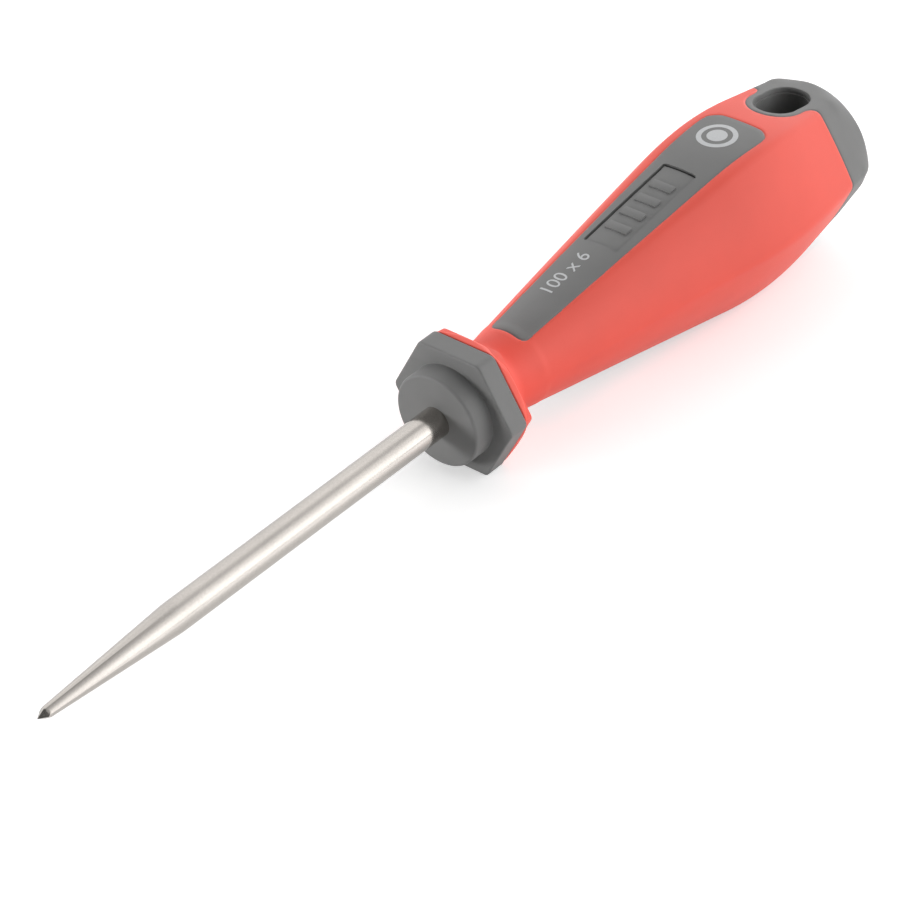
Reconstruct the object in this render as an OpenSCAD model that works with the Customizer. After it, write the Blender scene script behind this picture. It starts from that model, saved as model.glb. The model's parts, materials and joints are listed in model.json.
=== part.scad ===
// Bradawl: a round steel blade with a four-sided point in a two-colour moulded handle.
// X runs along the tool from the point to the butt and Z is up through the label pad.
// The origin is the middle of the nose face, where the blade comes out of the handle.

/* [Blade] */
// Length of the blade from the nose to the point
blade_l = 100; // [60:1:160]
// Diameter of the blade
blade_d = 6; // [4:0.5:8]
// Length of the tapered end with its point
taper_l = 32; // [15:1:50]
// Diameter at the small end of the taper
taper_tip_d = 2.3; // [1.5:0.1:3.5]
// Length of the four-sided point
point_l = 2.4; // [1:0.2:6]

/* [Tang] */
// Length of the tang inside the handle
tang_l = 72; // [62:1:85]
// Diameter of the tang
tang_d = 5.6; // [5:0.1:6.4]
// Distance from the nose to the middle of the pressed flats
flat_x = 48; // [38:1:54]
// Length of the flats
flat_l = 12; // [6:1:16]
// Thickness of the tang between the flats
flat_t = 3.6; // [2:0.1:4.4]

/* [Nose and guard] */
// Diameter of the round nose
nose_d = 18.8; // [14:0.2:22]
// Length of the nose in front of the guard
nose_l = 4.4; // [2:0.2:8]
// Chamfer on the nose rim
nose_chamfer = 0.6; // [0.2:0.1:1]
// Distance across the flats of the six-sided guard
guard_af = 24.2; // [23:0.2:30]
// Thickness of the hard guard
guard_t = 4.4; // [3:0.2:8]
// Depth that is rounded off each corner of the guard
guard_corner_cut = 0.4; // [0.2:0.1:0.8]
// Thickness of the soft rim behind the guard
rim_t = 1.8; // [1:0.2:4]

/* [Grip] */
// Radius of the grip where the neck is narrowest
neck_r = 7.4; // [7:0.1:8.4]
// Radius of the hollow between the rim and the neck
neck_hollow_r = 4.5; // [3:0.1:4.8]
// Distance from the end of the handle to the widest part of the grip
belly_back = 29; // [24:1:36]
// Radius over the ridges at the widest part
belly_r = 17.8; // [16.5:0.1:19]
// Radius of the swell along the grip at the widest part
swell_r = 75; // [50:1:80]
// Slope of the grip behind the swell, in degrees
rear_slope = 9; // [6:0.5:12]
// Share of the ridge radius that the facets are cut in by at the butt
facet_share = 0.1; // [0.04:0.005:0.12]
// Distance from the nose to where the facets start
facet_start_x = 22; // [18:1:30]
// Thickness of the soft layer over the hard core
soft_wall = 2.2; // [1.6:0.1:2.8]

/* [Label pad] */
// Distance from the nose to the front of the label pad
pad_x = 20; // [20:0.5:25]
// Distance from the end of the handle to the rear of the label pad
pad_back = 24; // [24:0.5:30]
// Width of the label pad at its front
pad_front_w = 8.2; // [7:0.2:11]
// Width of the label pad at its rear
pad_rear_w = 14.2; // [12:0.2:15]
// Length of the stretch over which the label pad widens
pad_taper_l = 64; // [40:1:66]
// Radius of the corners of the label pad
pad_corner_r = 2; // [1:0.1:3]

/* [Panel in the label pad] */
// Distance from the rear of the label pad to the sunk panel
panel_back = 18.6; // [16:0.2:20]
// Length of the sunk panel
panel_l = 24.4; // [20:0.2:29]
// Width of the sunk panel
panel_w = 7.8; // [7:0.2:9]
// Depth of the sunk panel
panel_depth = 0.5; // [0.4:0.1:1]
// Number of plain raised ribs in the panel
rib_count = 4; // [2:1:5]
// Width of each rib along the handle
rib_w = 2; // [1:0.1:2.5]
// Length of each rib across the handle
rib_l = 5; // [3:0.1:6]
// Distance between the middles of the ribs
rib_pitch = 4.4; // [3.4:0.1:4.8]
// Height of the ribs above the panel floor
rib_h = 0.3; // [0.2:0.1:0.4]

/* [Butt] */
// Length of the whole handle from the nose face
handle_l = 114; // [95:0.5:130]
// Length of the hard butt
butt_l = 10; // [8:0.5:13]
// Radius round the end of the butt
butt_edge_r = 6; // [4:0.1:6.6]
// Distance from the end of the handle to the middle of the hanging hole
hole_back = 11.4; // [10:0.2:14]
// Width of the oval hanging hole across the handle
hole_w = 8.2; // [6:0.2:9]
// Length of the straight run between the round ends of the hole
hole_run = 3.5; // [1:0.1:5]
// Width of the ledge round the mouth of the hole
ledge_w = 0.35; // [0.2:0.05:0.6]
// Depth of the ledge below the surface
ledge_depth = 0.9; // [0.5:0.1:1.5]
// Width of the hard surround of the hole in the soft grip
surround_w = 1.4; // [1:0.1:2.4]

/* [Hidden] */
$fn = 96;
steel_colour = "#c9c5bf";
core_colour = "#7c7c7c";
grip_colour = "#e8564a";
// Sides of the guard and facets of the grip
sides = 6;
// Straight steps in each rounded stretch of an outline
arc_steps = 8;
// Cuts run past the faces that they open by this length
overrun = 1;

// Places along the tool
taper_x = -blade_l + taper_l;
point_x = -blade_l + point_l;
guard_x = nose_l;
rim_x = guard_x + guard_t;
neck_x = rim_x + rim_t;
belly_x = handle_l - belly_back;
pad_end_x = handle_l - pad_back;
panel_x = pad_end_x - panel_back - panel_l;
butt_x = handle_l - butt_l;
hole_x = handle_l - hole_back;

// A length that passes right through the handle from any side
through = 4 * belly_r;

// Guard sizes
guard_corner_r = guard_af / 2 / cos(180 / sides);
guard_round_r = guard_corner_r - guard_corner_cut;

// The side of the grip is a hollow at the neck, a straight cone, a swell and a straight rear.
// The cone touches both the hollow and the swell, which sets its slope.
hollow_x = neck_x + neck_hollow_r;
swell_run = belly_x - hollow_x;
swell_drop = neck_r + neck_hollow_r - belly_r + swell_r;
cone_slope = asin((swell_r + neck_hollow_r) / norm([swell_run, swell_drop]))
    - atan2(swell_drop, swell_run);
cone_x = hollow_x + neck_hollow_r * sin(cone_slope);
cone_r = neck_r + neck_hollow_r * (1 - cos(cone_slope));
rear_x = belly_x + swell_r * sin(rear_slope);
rear_r = belly_r - swell_r * (1 - cos(rear_slope));
edge_x = handle_l - butt_edge_r;
edge_r = rear_ridge_r(edge_x);
end_r = edge_r - butt_edge_r;

// Radius over the ridges along the straight rear
function rear_ridge_r(x) = rear_r - (x - rear_x) * tan(rear_slope);

// A value part of the way from a to b
function between(a, b, part) = a + (b - a) * part;

// Point [x, ridge radius] part of the way along the swell
function swell_point(part) =
    let (a = between(-cone_slope, rear_slope, part))
    [belly_x + swell_r * sin(a), belly_r - swell_r * (1 - cos(a))];

// Points [x, ridge radius] along the grip, from the back of the rim to the end of the butt
hollow_points = [
    for (i = [0 : arc_steps])
        let (a = between(0, 90 + cone_slope, i / arc_steps))
        [hollow_x - neck_hollow_r * cos(a), neck_r + neck_hollow_r * (1 - sin(a))]
];
swell_points = [for (i = [0 : arc_steps]) swell_point(i / arc_steps)];
edge_points = [
    for (i = [0 : arc_steps])
        let (a = between(0, 90, i / arc_steps))
        [edge_x + butt_edge_r * sin(a), end_r + butt_edge_r * cos(a)]
];
ridge_points = concat(hollow_points, swell_points, edge_points);

// Ratio of the facet height to the ridge radius, which falls steadily from the neck to the butt
function facet_ratio(x) = 1 - facet_share * min(1, (x - facet_start_x) / (butt_x - facet_start_x));

// Points [x, height] along the middle of a facet, from clear of the hollow straight out through
// the end. On the swell they lie half way between the points of the ridges.
facet_points = [
    [neck_x, guard_corner_r],
    for (p = concat(
        [[cone_x, cone_r]],
        [for (i = [1 : arc_steps]) swell_point((i - 1 / 2) / arc_steps)],
        [[handle_l, rear_ridge_r(handle_l)]]
    ))
        [p[0], p[1] * facet_ratio(p[0])]
];

// Height of a facet over the axis, and its slope between two places in degrees
function facet_height(x) = lookup(x, facet_points);
function facet_slope(a, b) = atan2(facet_height(b) - facet_height(a), b - a);

// Radius of the inner core under a ridge radius
function core_r(r) = r * (1 - facet_share) - soft_wall;

// Points of one rounded corner at p between its neighbours
function corner(before, p, after, r) =
    let (
        a = (before - p) / norm(before - p),
        b = (after - p) / norm(after - p),
        half = acos(a * b) / 2,
        centre = p + (a + b) / norm(a + b) * r / sin(half),
        start = p + a * r / tan(half) - centre,
        first = atan2(start[1], start[0]),
        sweep = (180 - 2 * half) * sign(a[0] * b[1] - a[1] * b[0])
    )
    [
        for (i = [0 : arc_steps])
            let (turn = first - sweep * i / arc_steps)
            centre + r * [cos(turn), sin(turn)]
    ];

// Turns an outline of [x, radius] points round the axis of the tool
module turned(points) {
    rotate([0, 90, 0])
        rotate_extrude()
            polygon([
                [0, points[0][0]],
                for (p = points) [p[1], p[0]],
                [0, points[len(points) - 1][0]]
            ]);
}

// Round rod along the axis
module rod(x, length, d) {
    translate([x, 0, 0])
        rotate([0, 90, 0])
            cylinder(h = length, d = d);
}

// Slice of the six-sided guard with rounded corners
module guard_slice(x, thickness) {
    intersection() {
        translate([x, 0, 0])
            rotate([0, 90, 0])
                rotate([0, 0, 90])
                    cylinder(h = thickness, r = guard_corner_r, $fn = sides);
        rod(x, thickness, 2 * guard_round_r);
    }
}

// Space between one pair of opposite facets
module facet_pair(turn) {
    count = len(facet_points);
    rotate([turn + 90, 0, 0])
        linear_extrude(height = through, center = true)
            polygon(concat(
                facet_points,
                [for (i = [1 : count]) [facet_points[count - i][0], -facet_points[count - i][1]]]
            ));
}

// Outside of the handle behind the rim: a turned form with six shallow facets
module handle_form() {
    intersection() {
        turned(ridge_points);
        facet_pair(0);
        facet_pair(360 / sides);
        facet_pair(-360 / sides);
    }
}

// Upright oval block with round ends, which stands on its base
module oval(height, width) {
    for (side = [-1, 1])
        translate([side * hole_run / 2, 0, 0])
            cylinder(h = height, d = width);
    translate([-hole_run / 2, -width / 2, 0])
        cube([hole_run, width, height]);
}

// Label pads above and below, as one upright block with rounded corners
module pads() {
    front_y = pad_front_w / 2;
    rear_y = pad_rear_w / 2;
    linear_extrude(height = through, center = true)
        polygon(concat(
            corner([pad_x, front_y], [pad_x, -front_y], [pad_x + pad_taper_l, -rear_y], pad_corner_r),
            [[pad_x + pad_taper_l, -rear_y]],
            corner([pad_x, -rear_y], [pad_end_x, -rear_y], [pad_end_x, rear_y], pad_corner_r),
            corner([pad_end_x, -rear_y], [pad_end_x, rear_y], [pad_x, rear_y], pad_corner_r),
            [[pad_x + pad_taper_l, rear_y]],
            corner([pad_x + pad_taper_l, rear_y], [pad_x, front_y], [pad_x, -front_y], pad_corner_r)
        ));
}

// Hard surround of the hanging hole, right through the handle
module hole_surround() {
    translate([hole_x, 0, -through / 2])
        oval(through, hole_w + 2 * (ledge_w + surround_w));
}

// Everything behind the front of the butt
module butt_space() {
    rod(butt_x, handle_l, through);
}

// Places where the hard core shows on the outside of the handle
module hard_places() {
    pads();
    hole_surround();
    butt_space();
}

// The part of the core that the soft grip covers, from the guard into the butt
module inner_core() {
    turned(concat(
        [[rim_x, core_r(neck_r)], [hollow_x, core_r(neck_r)]],
        [for (p = swell_points) [p[0], core_r(p[1])]],
        [[edge_x, core_r(edge_r)]]
    ));
}

// Nose with its chamfered rim
module nose() {
    turned([
        [0, nose_d / 2 - nose_chamfer],
        [nose_chamfer, nose_d / 2],
        [guard_x, nose_d / 2]
    ]);
}

// Tang with two pressed flats, which the core is moulded round so that it can't turn or pull out
module tang() {
    difference() {
        rod(0, tang_l, tang_d);
        for (side = [-1, 1])
            translate([flat_x, 0, side * (flat_t + tang_d) / 2])
                cube([flat_l, tang_d + overrun, tang_d], center = true);
    }
}

// Wedge that two faces of the point lie on
module point_wedge(turn) {
    rotate([turn, 0, 0])
        linear_extrude(height = taper_tip_d, center = true)
            polygon([
                [-blade_l, 0],
                [point_x, taper_tip_d / 2],
                [point_x, -taper_tip_d / 2]
            ]);
}

// Oval hanging hole with a ledge round each mouth that follows the slope of the facet
module hanging_hole() {
    slope = facet_slope(butt_x, edge_x);
    translate([hole_x, 0, -through / 2])
        oval(through, hole_w);
    for (turn = [0, 180])
        rotate([turn, 0, 0])
            translate([hole_x, 0, facet_height(hole_x)])
                rotate([0, -slope, 0])
                    translate([0, 0, -ledge_depth])
                        oval(ledge_depth + overrun, hole_w + 2 * ledge_w);
}

// Sunk panel of the label pad around its plain raised ribs, as the space to cut away
module sunk_panel() {
    slope = facet_slope(panel_x, panel_x + panel_l);
    first_x = panel_l / 2 - rib_pitch * (rib_count - 1) / 2;
    translate([panel_x, 0, facet_height(panel_x)])
        rotate([0, -slope, 0])
            difference() {
                translate([0, -panel_w / 2, -panel_depth])
                    cube([panel_l, panel_w, panel_depth + overrun]);
                for (i = [0 : rib_count - 1])
                    translate([first_x + rib_pitch * i - rib_w / 2, -rib_l / 2, -panel_depth])
                        cube([rib_w, rib_l, rib_h]);
            }
}

// Steel bar with a taper, a four-sided point and the tang inside the handle
module blade() {
    color(steel_colour) {
        rod(taper_x, -taper_x, blade_d);
        turned([[point_x, taper_tip_d / 2], [taper_x, blade_d / 2]]);
        intersection() {
            rod(-blade_l, point_l, taper_tip_d);
            point_wedge(0);
            point_wedge(90);
        }
        tang();
    }
}

// Hard grey moulding: nose, guard, inner core, label pads and butt
module handle_core() {
    color(core_colour)
        difference() {
            union() {
                nose();
                guard_slice(guard_x, guard_t);
                inner_core();
                intersection() {
                    handle_form();
                    hard_places();
                }
            }
            tang();
            hanging_hole();
            sunk_panel();
        }
}

// Soft red moulding over the core: rim, neck and body
module soft_grip() {
    color(grip_colour)
        difference() {
            union() {
                guard_slice(rim_x, rim_t);
                handle_form();
            }
            inner_core();
            hard_places();
        }
}

blade();
handle_core();
soft_grip();
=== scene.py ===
"""Bradawl: the looks of its blade, hard core, soft grip and prints, and the stage that shows it."""
import json
import math

import bmesh
import bpy
from mathutils import Matrix, Vector


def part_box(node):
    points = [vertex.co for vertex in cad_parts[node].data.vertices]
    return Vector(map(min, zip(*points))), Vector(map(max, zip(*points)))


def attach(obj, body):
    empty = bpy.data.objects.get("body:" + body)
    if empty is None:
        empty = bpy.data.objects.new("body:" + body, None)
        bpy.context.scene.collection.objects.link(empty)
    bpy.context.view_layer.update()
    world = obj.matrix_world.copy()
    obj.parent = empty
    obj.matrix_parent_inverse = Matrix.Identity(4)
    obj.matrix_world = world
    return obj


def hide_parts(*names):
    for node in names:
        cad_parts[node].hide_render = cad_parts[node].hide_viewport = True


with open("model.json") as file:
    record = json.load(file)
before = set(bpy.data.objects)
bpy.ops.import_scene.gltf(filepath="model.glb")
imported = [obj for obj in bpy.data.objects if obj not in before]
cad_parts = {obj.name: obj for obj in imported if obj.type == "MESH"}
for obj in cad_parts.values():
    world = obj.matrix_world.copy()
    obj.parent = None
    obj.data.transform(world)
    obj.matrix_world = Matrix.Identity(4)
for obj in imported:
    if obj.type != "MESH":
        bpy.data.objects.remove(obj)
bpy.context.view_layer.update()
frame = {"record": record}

bl_info = {
    "name": "Bradawl",
    "version": (1, 0, 0),
    "blender": (4, 5, 0),
    "location": "View3D > Sidebar > Bradawl",
    "description": "Builds a bradawl with a steel blade and a two-colour moulded handle",
    "category": "Object",
}

MM = 0.001
TURN = 2 * math.pi
QUARTER = math.pi / 2
# The guard and the grip have six sides
HALF_SIDE = math.pi / 6
FLAT_TO_RIDGE = 1 / math.cos(HALF_SIDE)
# Steps round the handle, the blade and the tip symbol, and round an edge
HANDLE_STEPS, BLADE_STEPS, SYMBOL_STEPS = 192, 96, 96
ARC_STEPS = 8
ARC = [QUARTER * i / ARC_STEPS for i in range(ARC_STEPS + 1)]
# Longest step along the handle, and the fewest steps between two of its places
HANDLE_STEP = 1.0 * MM
LEAST_STEPS = 6
# Halvings that find a height on the grip, and places of the grip that are tried on the floor
HALVINGS = 24
FLOOR_TRIES = 200
# Points nearer than this to a curved cut or to a flat one lie on it, and nearer ones are merged
CUT_SNAP = 0.02 * MM
FLAT_CUT_SNAP = 0.0001 * MM
MERGE_NEAR = 0.01 * MM
# Edges that bend more than this stay sharp, and faces that look up more than this are pressed
SHARP_ANGLE = math.radians(38)
FACING_UP = 0.5
# Cuts along the seam, and cuts round the mouth of the hole in shares of the width of its edge
SEAM_CUTS = (0, 1, -1, 2, -2, 3, -3)
MOUTH_CUTS = (1, 0.5, 0)
# How far inside the mouth, in such shares, a point still counts as on its edge
MOUTH_SLACK = 0.1
# Number of the point's faces, and the length of the step at each end of the tang's flats
POINT_FACES = 4
FLAT_STEP = 0.01 * MM
# Length of the step where the facets start, in depths of it, and the least bulge of a facet
FACET_RUN = 12
LEAST_BULGE = 0.001 * MM
# How far below the rim's edge the hollow starts, and the inner core's gap to the soft layer
HOLLOW_DROP = 0.3 * MM
CORE_GAP = 0.2 * MM
# Share of the font's size that its figures are high, steps of their curves, and slices of a print
FIGURE_SHARE = 0.73
FIGURE_STEPS = 4
PRINT_STEP = 0.5 * MM
# Range of the noise that a tint spreads over, and where the steel gets smooth towards the nose
TINT_LOW, TINT_HIGH = 0.25, 0.75
ROOT_START, ROOT_FULL = -14 * MM, -6 * MM
# Half of the floor's width and its cells, the width of the camera's sensor, and its range
FLOOR_HALF, FLOOR_CELLS = 4, 8
SENSOR = 36
CAMERA_RANGE = 0.01, 20
# Light all round, and its soft patches: way, angles where each ends and is full, strength
STUDIO_LEVEL = 0.05
STUDIO_PATCHES = (
    ((1, -0.1, 0.2), 70, 20, 0.45),
    ((0.58, -0.8, 0.19), 60, 15, 0.86),
    ((0.99, 0, 0.14), 40, 8, 2.0),
    ((0.3, -0.95, 0.05), 45, 8, 1.4),
    ((0.5, 0.65, 0.57), 55, 15, 1.12),
    ((-0.25, 0.93, 0.26), 45, 10, 0.62),
    ((0.25, -0.5, 0.83), 40, 10, 0.6),
)
# All that lies above the horizon, as such a patch
SKY = (0, 0, 1), 90, 87
WHITE = (1, 1, 1, 1)
# Glow of the floor for the camera
FLOOR_GLOW = 0.46
# Glow of the floor in what mirrors it, under the tool and further to its right; the lower glow
# under the tool is a painted shadow, which fades out over the rise
FLOOR_PAINTED_SHADOW, FLOOR_FAR = 0.26, 1.12
FLOOR_RISE = 50 * MM

HOLE = next(m for m in frame["record"]["mounts"] if m["name"] == "hanging_hole")
BLADE_LOW, BLADE_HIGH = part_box("blade")
CORE_LOW, CORE_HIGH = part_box("handle_core")


def length_of(name, words, metres):
    """A length that a user may change."""
    return bpy.props.FloatProperty(
        name=name, description=words, default=metres, min=0, precision=5, unit="LENGTH")


def angle_of(name, words, degrees):
    """An angle that a user may change."""
    return bpy.props.FloatProperty(
        name=name, description=words, default=math.radians(degrees), subtype="ANGLE")


def share_of(name, words, share):
    """A share from 0 to 1 that a user may change."""
    return bpy.props.FloatProperty(
        name=name, description=words, default=share, min=0, max=1, subtype="FACTOR")


def colour_of(name, words, colour):
    """A colour that a user may change."""
    return bpy.props.FloatVectorProperty(
        name=name, description=words, default=colour, min=0, max=1, size=3, subtype="COLOR")


class BladeSizes(bpy.types.PropertyGroup):
    """Sizes of the steel bar."""

    length: length_of("Length", "From the nose face to the point", -BLADE_LOW.x)
    radius: length_of("Radius", "Radius of the round bar", BLADE_HIGH.y)
    taper: length_of("Taper", "Length of the tapered end with its point", 32 * MM)
    taper_blend: length_of("Taper blend", "Length of the bend into the taper", 2.5 * MM)
    tip_radius: length_of("Tip radius", "Radius at the small end of the taper", 1.15 * MM)
    point: length_of("Point", "Length of the four-sided point", 2.4 * MM)
    point_turn: angle_of("Point turn", "Turn of the point's faces about the axis", -48)
    tang: length_of("Tang", "Length of the tang inside the handle", BLADE_HIGH.x)
    tang_radius: length_of("Tang radius", "Radius of the tang", 2.8 * MM)
    flat_middle: length_of("Flats", "From the nose face to the middle of the flats", 48 * MM)
    flat_length: length_of("Flat length", "Length of the tang's flats", 12 * MM)
    flat_thickness: length_of("Flat thickness", "Thickness between the tang's flats", 3.6 * MM)


class HandleSizes(bpy.types.PropertyGroup):
    """Sizes of the moulded handle."""

    length: length_of("Length", "From the nose face to the end of the butt", CORE_HIGH.x)
    nose_radius: length_of("Nose radius", "Radius of the round nose", 9.4 * MM)
    nose_length: length_of("Nose length", "Length of the nose in front of the guard", 4.4 * MM)
    nose_edge: length_of("Nose edge", "Radius round the nose rim", 0.6 * MM)
    nose_root: length_of("Nose root", "Hollow where the nose meets the guard", 0.15 * MM)
    guard_flat: length_of("Guard flat", "From the axis to a flat of the guard", 12.1 * MM)
    guard_corner: length_of("Guard corner", "Radius of the corners of the guard", 1.5 * MM)
    guard_thickness: length_of("Guard thickness", "Thickness of the hard guard", 4.4 * MM)
    guard_edge: length_of("Guard edge", "Radius of the edges of the guard", 0.35 * MM)
    rim_thickness: length_of("Rim thickness", "Thickness of the rim behind the guard", 1.8 * MM)
    rim_edge: length_of("Rim edge", "Radius of the rear edge of the rim", 0.6 * MM)
    neck_radius: length_of("Neck radius", "Radius where the neck is narrowest", 7.4 * MM)
    hollow_radius: length_of("Hollow radius", "Hollow between the rim and the neck", 4.5 * MM)
    belly_back: length_of("Belly", "From the end to the widest part", 29 * MM)
    belly_radius: length_of("Belly radius", "Radius over the ridges at the widest part", 17.8 * MM)
    swell_radius: length_of("Swell radius", "Radius of the swell along the grip", 75 * MM)
    rear_slope: angle_of("Rear slope", "Slope of the grip behind the swell", 9)
    facet_share: share_of("Facet depth", "Share that the facets take off at the butt", 0.1)
    facet_start: length_of("Facet start", "From the nose face to the facets", 20.6 * MM)
    facet_step: length_of("Facet step", "Depth of the step where the facets start", 0.16 * MM)
    ridge_soft: length_of("Ridge softness", "Rounding of the ridges at the butt", 1.0 * MM)
    soft_wall: length_of("Soft wall", "Thickness of the soft layer", 2.0 * MM)
    pad_front: length_of("Pad front", "From the nose face to the label pad", 19.95 * MM)
    pad_back: length_of("Pad back", "From the end of the handle to the label pad", 23.9 * MM)
    pad_front_half: length_of("Pad front half", "Half of its width in front", 4.06 * MM)
    pad_rear_half: length_of("Pad rear half", "Half of its width at its rear", 7.1 * MM)
    pad_taper: length_of("Pad taper", "Length over which the label pad widens", 65 * MM)
    pad_front_corner: length_of("Pad front corner", "Radius of its front corners", 1.6 * MM)
    pad_rear_corner: length_of("Pad rear corner", "Radius of its rear corners", 3.2 * MM)
    seam_half: length_of("Seam half", "Half of the width of the groove at the seam", 0.3 * MM)
    seam_depth: length_of("Seam depth", "Depth of the groove at the seam", 0.12 * MM)
    panel_back: length_of("Panel back", "From the pad's rear to the sunk panel", 18.7 * MM)
    panel_length: length_of("Panel length", "Length of the sunk panel", 24.4 * MM)
    panel_half: length_of("Panel half", "Half of the width of the sunk panel", 3.9 * MM)
    panel_depth: length_of("Panel depth", "Depth of the sunk panel", 0.3 * MM)
    panel_corner: length_of("Panel corner", "Radius of the corners of the panel", 0.3 * MM)
    groove_width: length_of("Groove width", "Groove at the panel's left and rear", 0.5 * MM)
    groove_depth: length_of("Groove depth", "Depth of the groove below the panel", 0.5 * MM)
    ribs: bpy.props.IntProperty(name="Ribs", description="Number of ribs", default=4, min=0)
    rib_width: length_of("Rib width", "Width of a raised rib along the handle", 2 * MM)
    rib_length: length_of("Rib length", "Length of a raised rib across the handle", 5 * MM)
    rib_pitch: length_of("Rib pitch", "Distance between the raised ribs", 4.4 * MM)
    rib_height: length_of("Rib height", "Height of the raised ribs", 0.25 * MM)
    rib_edge: length_of("Rib edge", "Radius of the edges of a rib", 0.12 * MM)
    butt_length: length_of("Butt length", "Length of the hard butt", 10 * MM)
    butt_edge: length_of("Butt edge", "Radius round the end of the butt", 6 * MM)
    hole_middle: length_of("Hole", "From the nose face to the hole's middle", HOLE["pos_m"][0])
    hole_half: length_of("Hole run", "Half of the straight run of the oval hole", 1.75 * MM)
    hole_radius: length_of("Hole radius", "Radius of the two round ends of the hole", 4.1 * MM)
    ledge_width: length_of("Ledge width", "Width of the ledge round the mouth", 0.35 * MM)
    ledge_depth: length_of("Ledge depth", "Depth of the ledge below the surface", 0.9 * MM)
    mouth_edge: length_of("Mouth edge", "Width of the rounded edge of the mouth", 0.25 * MM)
    surround_width: length_of("Surround", "Width of the hard surround of the hole", 1.38 * MM)
    surround_blend: length_of("Surround blend", "Run of the surround into the butt", 2.2 * MM)


class PrintSizes(bpy.types.PropertyGroup):
    """Sizes of the two prints on the label pad."""

    figures: bpy.props.StringProperty(
        name="Figures", description="Length and thickness of the blade", default="100 x 6")
    figure_height: length_of("Figure height", "Height of the figures", 3.0 * MM)
    figures_middle: length_of("Figures place", "From the nose face to their middle", 37.6 * MM)
    aside: length_of("Aside", "How far the prints sit to the left of the middle", 0.5 * MM)
    ring_middle: length_of("Ring place", "From the nose face to the tip symbol", 83.2 * MM)
    ring_radius: length_of("Ring radius", "Outer radius of the ring", 4.0 * MM)
    ring_band: length_of("Ring band", "Width of the ring", 1.0 * MM)
    dot_radius: length_of("Dot radius", "Radius of the dot in the ring", 2.0 * MM)
    thickness: length_of("Thickness", "Thickness of the ink", 0.04 * MM)


class Finishes(bpy.types.PropertyGroup):
    """Colours of the tool's finishes and of the floor."""

    steel: colour_of("Steel", "Ground steel of the blade", (0.506, 0.475, 0.444))
    grey: colour_of("Grey", "Hard plastic of the core", (0.188, 0.188, 0.186))
    red: colour_of("Red", "Soft plastic of the grip", (0.87, 0.093, 0.061))
    ink: colour_of("Ink", "Ink of the prints", (0.56, 0.57, 0.58))
    floor: colour_of("Floor", "Pale floor", (0.82, 0.82, 0.82))


class StageSettings(bpy.types.PropertyGroup):
    """Camera and light."""

    azimuth: angle_of("Azimuth", "Turn of the camera round the tool", -46.363)
    elevation: angle_of("Elevation", "Height of the camera over the tool's long plane", 36.435)
    roll: angle_of("Roll", "Turn of the camera about its own axis", 4.796)
    distance: length_of("Distance", "From the camera to the nose face", 0.7)
    lens: bpy.props.FloatProperty(
        name="Lens", description="Focal length in millimetres", default=157.3)
    shift: bpy.props.FloatVectorProperty(
        name="Shift", description="Shift of the picture", default=(0.01511, -0.03174), size=2)
    box_place: bpy.props.FloatVectorProperty(
        name="Soft box", description="Place of the soft box", default=(-0.7, 0.52, 0.06),
        size=3, subtype="TRANSLATION", unit="LENGTH")
    box_size: length_of("Soft box size", "Width and height of the soft box", 0.35)
    box_power: bpy.props.FloatProperty(
        name="Soft box power", description="Power of the soft box", default=7.8, min=0,
        unit="POWER")


class BradawlSettings(bpy.types.PropertyGroup):
    """All that a user would change."""

    blade: bpy.props.PointerProperty(type=BladeSizes)
    handle: bpy.props.PointerProperty(type=HandleSizes)
    prints: bpy.props.PointerProperty(type=PrintSizes)
    finishes: bpy.props.PointerProperty(type=Finishes)
    stage: bpy.props.PointerProperty(type=StageSettings)


class Wire:
    """A socket of a node tree whose sums are written as Python expressions."""

    def __init__(self, graph, socket):
        self.graph, self.socket = graph, socket

    def sum(self, operation, first, second):
        """Adds a Math node."""
        return self.graph.add("ShaderNodeMath", {"operation": operation}, {0: first, 1: second})

    def __add__(self, other):
        return self.sum("ADD", self, other)

    __radd__ = __add__

    def __sub__(self, other):
        return self.sum("SUBTRACT", self, other)

    def __rsub__(self, other):
        return self.sum("SUBTRACT", other, self)

    def __mul__(self, other):
        return self.sum("MULTIPLY", self, other)

    __rmul__ = __mul__


class Graph:
    """The nodes of a material or of the world."""

    def __init__(self, tree):
        self.tree = tree
        tree.nodes.clear()

    def add(self, kind, settings=None, inputs=None, output=0):
        """Adds a node, sets its settings, then its sockets' values or links; gives an output."""
        node = self.tree.nodes.new(kind)
        for name, value in (settings or {}).items():
            if name == "stops":
                for element, (place, colour) in zip(node.color_ramp.elements, value):
                    element.position = place
                    element.color = (*colour, 1)
            else:
                setattr(node, name, value)
        for name, value in (inputs or {}).items():
            if isinstance(value, Wire):
                self.tree.links.new(value.socket, node.inputs[name])
            else:
                node.inputs[name].default_value = value
        return Wire(self, node.outputs[output]) if node.outputs else None


def finish_of(name, paint):
    """A material from a function that gets the graph and the coordinates, and gives a shader."""
    material = bpy.data.materials.new(name)
    material.use_nodes = True
    graph = Graph(material.node_tree)
    coords = graph.add("ShaderNodeTexCoord", output="Object")
    graph.add("ShaderNodeOutputMaterial", None, {"Surface": paint(graph, coords)})
    return material


def noise(graph, coords, scale, detail=2.0, stretch=(1, 1, 1)):
    """Noise from 0 to 1 with a number of grains in a metre, stretched along the axes."""
    spread = graph.add("ShaderNodeMapping", None, {"Vector": coords, "Scale": stretch})
    settings = {"Vector": spread, "Scale": scale, "Detail": detail}
    return graph.add("ShaderNodeTexNoise", None, settings)


def tinted(graph, colour, change, low, high):
    """A colour made darker and lighter by a changing value from 0 to 1."""
    dark, light = [c * low for c in colour], [min(1, c * high) for c in colour]
    ramp = {"stops": [(TINT_LOW, dark), (TINT_HIGH, light)]}
    return graph.add("ShaderNodeValToRGB", ramp, {"Fac": change})


def bumped(graph, height, depth):
    """A normal from a height, with the depth in metres."""
    settings = {"Height": height, "Strength": 1.0, "Distance": depth}
    return graph.add("ShaderNodeBump", None, settings)


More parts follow.
